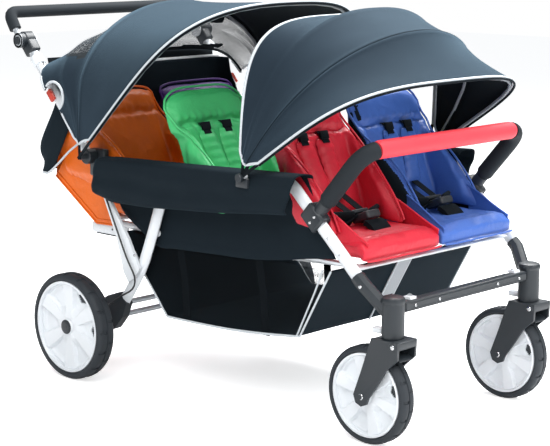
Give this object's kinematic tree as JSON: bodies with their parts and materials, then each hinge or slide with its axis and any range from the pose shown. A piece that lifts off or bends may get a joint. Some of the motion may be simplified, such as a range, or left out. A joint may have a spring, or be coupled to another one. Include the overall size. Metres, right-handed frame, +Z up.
{
  "type": "six-seat stroller",
  "caption": "Six-seat folding stroller: three rows of two coloured seats on a white tube frame, two dark hoods, a red foam bumper bar, a storage basket, swivelling front wheels.",
  "frame": {"origin": "on the ground under the middle of the stroller's bounding box", "axes": "+X forward, +Y to the stroller's left, +Z up"},
  "size_m": [1.3931, 0.846, 1.0149],
  "materials": {
    "white_paint": "glossy white powder coat",
    "black_plastic": "matt",
    "dark_metal": "satin black",
    "bright_metal": "satin",
    "tyre_foam": "matt foam tyre",
    "rim_plastic": "satin white",
    "foam_grip": "closed-cell foam",
    "red_foam": "closed-cell foam sleeve",
    "black_cloth": "woven polyester",
    "grey_cloth": "woven polyester, charcoal",
    "red_plastic": "satin",
    "cable_black": "sheathed",
    "leathercloth_red": "soft-sheen leathercloth",
    "leathercloth_blue": "soft-sheen leathercloth",
    "leathercloth_green": "soft-sheen leathercloth",
    "leathercloth_yellow": "soft-sheen leathercloth",
    "leathercloth_orange": "soft-sheen leathercloth",
    "leathercloth_purple": "soft-sheen leathercloth"
  },
  "bodies": {
    "frame": {"caster_socket_right": "black_plastic", "side_rail_right": "white_paint", "rear_leg_right": "white_paint", "rear_strut_right": "white_paint", "hub_bracket_right": "black_plastic", "bar_clamp_right": "black_plastic", "side_cover_right": "black_cloth", "seat_pan_front_right": "leathercloth_red", "seat_pan_middle_right": "leathercloth_green", "seat_pan_rear_right": "leathercloth_orange", "caster_socket_left": "black_plastic", "side_rail_left": "white_paint", "rear_leg_left": "white_paint", "rear_strut_left": "white_paint", "hub_bracket_left": "black_plastic", "bar_clamp_left": "black_plastic", "side_cover_left": "black_cloth", "seat_pan_front_left": "leathercloth_blue", "seat_pan_middle_left": "leathercloth_yellow", "seat_pan_rear_left": "leathercloth_purple", "front_crossbar": "dark_metal", "rear_axle_frame": "bright_metal", "seat_frame": "white_paint", "basket": "black_cloth", "rear_curtain": "black_cloth", "brake_cable": "cable_black", "front_hood_rear_bow": "dark_metal"},
    "front_wheel_right": {"front_wheel_right_tyre": "tyre_foam", "front_wheel_right_rim": "rim_plastic"},
    "rear_wheel_right": {"rear_wheel_right_tyre": "tyre_foam", "rear_wheel_right_rim": "rim_plastic"},
    "caster_right": {"caster_fork_right": "black_plastic"},
    "swivel_lock_right": {"swivel_lock_right": "rim_plastic"},
    "fold_release_right": {"fold_release_right": "red_plastic"},
    "adjuster_button_right": {"adjuster_button_right": "black_plastic"},
    "seat_back_front_right": {"seat_back_front_right": "leathercloth_red"},
    "seat_back_middle_right": {"seat_back_middle_right": "leathercloth_green"},
    "seat_back_rear_right": {"seat_back_rear_right": "leathercloth_orange"},
    "front_wheel_left": {"front_wheel_left_tyre": "tyre_foam", "front_wheel_left_rim": "rim_plastic"},
    "rear_wheel_left": {"rear_wheel_left_tyre": "tyre_foam", "rear_wheel_left_rim": "rim_plastic"},
    "caster_left": {"caster_fork_left": "black_plastic"},
    "swivel_lock_left": {"swivel_lock_left": "rim_plastic"},
    "fold_release_left": {"fold_release_left": "red_plastic"},
    "adjuster_button_left": {"adjuster_button_left": "black_plastic"},
    "seat_back_front_left": {"seat_back_front_left": "leathercloth_blue"},
    "seat_back_middle_left": {"seat_back_middle_left": "leathercloth_yellow"},
    "seat_back_rear_left": {"seat_back_rear_left": "leathercloth_purple"},
    "handle_frame": {"handle_frame": "bright_metal"},
    "handlebar": {"handlebar": "bright_metal", "handle_grip": "foam_grip"},
    "bumper": {"bumper_bar": "foam_grip", "bumper_foam": "red_foam"},
    "front_hood_middle": {"front_hood_middle_bow": "dark_metal", "front_hood_cloth": "grey_cloth"},
    "front_hood_front": {"front_hood_front_bow": "dark_metal"},
    "rear_hood_rear": {"rear_hood_rear_bow": "dark_metal", "rear_hood_cloth": "grey_cloth"},
    "rear_hood_front": {"rear_hood_front_bow": "dark_metal"}
  },
  "joints": [
    {"name": "frame_fold", "type": "hinge", "parent": "frame", "child": "handle_frame", "pos_m": [-0.37225, 0, 0.6], "axis": [0, 1, 0], "range_deg": [0, 110], "deforming": ["seat_back_front_right", "seat_back_front_left", "seat_back_middle_right", "seat_back_middle_left", "seat_back_rear_right", "seat_back_rear_left", "rear_hood_cloth"]},
    {"name": "handle_tilt", "type": "hinge", "parent": "handle_frame", "child": "handlebar", "pos_m": [-0.63025, 0, 0.898], "axis": [0, -1, 0], "range_deg": [-10, 75]},
    {"name": "rear_hood_rear_fold", "type": "hinge", "parent": "handle_frame", "child": "rear_hood_rear", "pos_m": [-0.37225, 0, 0.6], "axis": [0, -1, 0], "range_deg": [0, 35]},
    {"name": "rear_hood_front_fold", "type": "hinge", "parent": "rear_hood_rear", "child": "rear_hood_front", "pos_m": [-0.37225, 0, 0.6], "axis": [0, -1, 0], "range_deg": [0, 39]},
    {"name": "front_hood_fold", "type": "hinge", "parent": "frame", "child": "front_hood_middle", "pos_m": [0.24275, 0, 0.611], "axis": [0, -1, 0], "range_deg": [0, 24.5], "deforming": ["front_hood_cloth"]},
    {"name": "front_hood_front_fold", "type": "hinge", "parent": "front_hood_middle", "child": "front_hood_front", "pos_m": [0.24275, 0, 0.611], "axis": [0, -1, 0], "range_deg": [0, 5]},
    {"name": "rear_wheel_right_spin", "type": "hinge", "parent": "frame", "child": "rear_wheel_right", "pos_m": [-0.37425, -0.394, 0.145], "axis": [0, 1, 0], "continuous": true},
    {"name": "caster_right_swivel", "type": "hinge", "parent": "frame", "child": "caster_right", "pos_m": [0.64275, -0.268, 0.26], "axis": [0, 0, 1], "continuous": true},
    {"name": "front_wheel_right_spin", "type": "hinge", "parent": "caster_right", "child": "front_wheel_right", "pos_m": [0.57675, -0.268, 0.12], "axis": [0, 1, 0], "continuous": true},
    {"name": "swivel_lock_right_lift", "type": "slide", "parent": "frame", "child": "swivel_lock_right", "axis": [0, 0, 1], "range_m": [0, 0.008]},
    {"name": "fold_release_right_pull", "type": "slide", "parent": "handle_frame", "child": "fold_release_right", "axis": [-0.6545, 0, 0.756], "range_m": [0, 0.01], "stiffness_N_per_m": 300},
    {"name": "adjuster_button_right_press", "type": "slide", "parent": "handlebar", "child": "adjuster_button_right", "axis": [0, 1, 0], "range_m": [0, 0.004], "stiffness_N_per_m": 500},
    {"name": "seat_back_front_right_recline", "type": "hinge", "parent": "frame", "child": "seat_back_front_right", "pos_m": [0.35075, -0.143, 0.484], "axis": [0, -1, 0], "range_deg": [0, 20]},
    {"name": "seat_back_middle_right_recline", "type": "hinge", "parent": "frame", "child": "seat_back_middle_right", "pos_m": [0.00575, -0.143, 0.484], "axis": [0, -1, 0], "range_deg": [0, 20]},
    {"name": "seat_back_rear_right_recline", "type": "hinge", "parent": "frame", "child": "seat_back_rear_right", "pos_m": [-0.33925, -0.143, 0.484], "axis": [0, -1, 0], "range_deg": [0, 12], "deforming": ["rear_curtain"]},
    {"name": "rear_wheel_left_spin", "type": "hinge", "parent": "frame", "child": "rear_wheel_left", "pos_m": [-0.37425, 0.394, 0.145], "axis": [0, 1, 0], "continuous": true},
    {"name": "caster_left_swivel", "type": "hinge", "parent": "frame", "child": "caster_left", "pos_m": [0.64275, 0.268, 0.26], "axis": [0, 0, 1], "continuous": true},
    {"name": "front_wheel_left_spin", "type": "hinge", "parent": "caster_left", "child": "front_wheel_left", "pos_m": [0.57675, 0.268, 0.12], "axis": [0, 1, 0], "continuous": true},
    {"name": "swivel_lock_left_lift", "type": "slide", "parent": "frame", "child": "swivel_lock_left", "axis": [0, 0, 1], "range_m": [0, 0.008]},
    {"name": "fold_release_left_pull", "type": "slide", "parent": "handle_frame", "child": "fold_release_left", "axis": [-0.6545, 0, 0.756], "range_m": [0, 0.01], "stiffness_N_per_m": 300},
    {"name": "adjuster_button_left_press", "type": "slide", "parent": "handlebar", "child": "adjuster_button_left", "axis": [0, -1, 0], "range_m": [0, 0.004], "stiffness_N_per_m": 500},
    {"name": "seat_back_front_left_recline", "type": "hinge", "parent": "frame", "child": "seat_back_front_left", "pos_m": [0.35075, 0.143, 0.484], "axis": [0, -1, 0], "range_deg": [0, 20]},
    {"name": "seat_back_middle_left_recline", "type": "hinge", "parent": "frame", "child": "seat_back_middle_left", "pos_m": [0.00575, 0.143, 0.484], "axis": [0, -1, 0], "range_deg": [0, 20]},
    {"name": "seat_back_rear_left_recline", "type": "hinge", "parent": "frame", "child": "seat_back_rear_left", "pos_m": [-0.33925, 0.143, 0.484], "axis": [0, -1, 0], "range_deg": [0, 12], "deforming": ["rear_curtain"]},
    {"name": "bumper_lift", "type": "slide", "parent": "frame", "child": "bumper", "axis": [0.6627, 0, 0.7489], "range_m": [0, 0.05]}
  ],
  "couplings": [
    {"joint": "rear_hood_rear_fold", "follows": "frame_fold", "ratio": 0.311},
    {"joint": "rear_hood_front_fold", "follows": "frame_fold", "ratio": 0.3464},
    {"joint": "front_hood_front_fold", "follows": "front_hood_fold", "ratio": 0.1864}
  ]
}
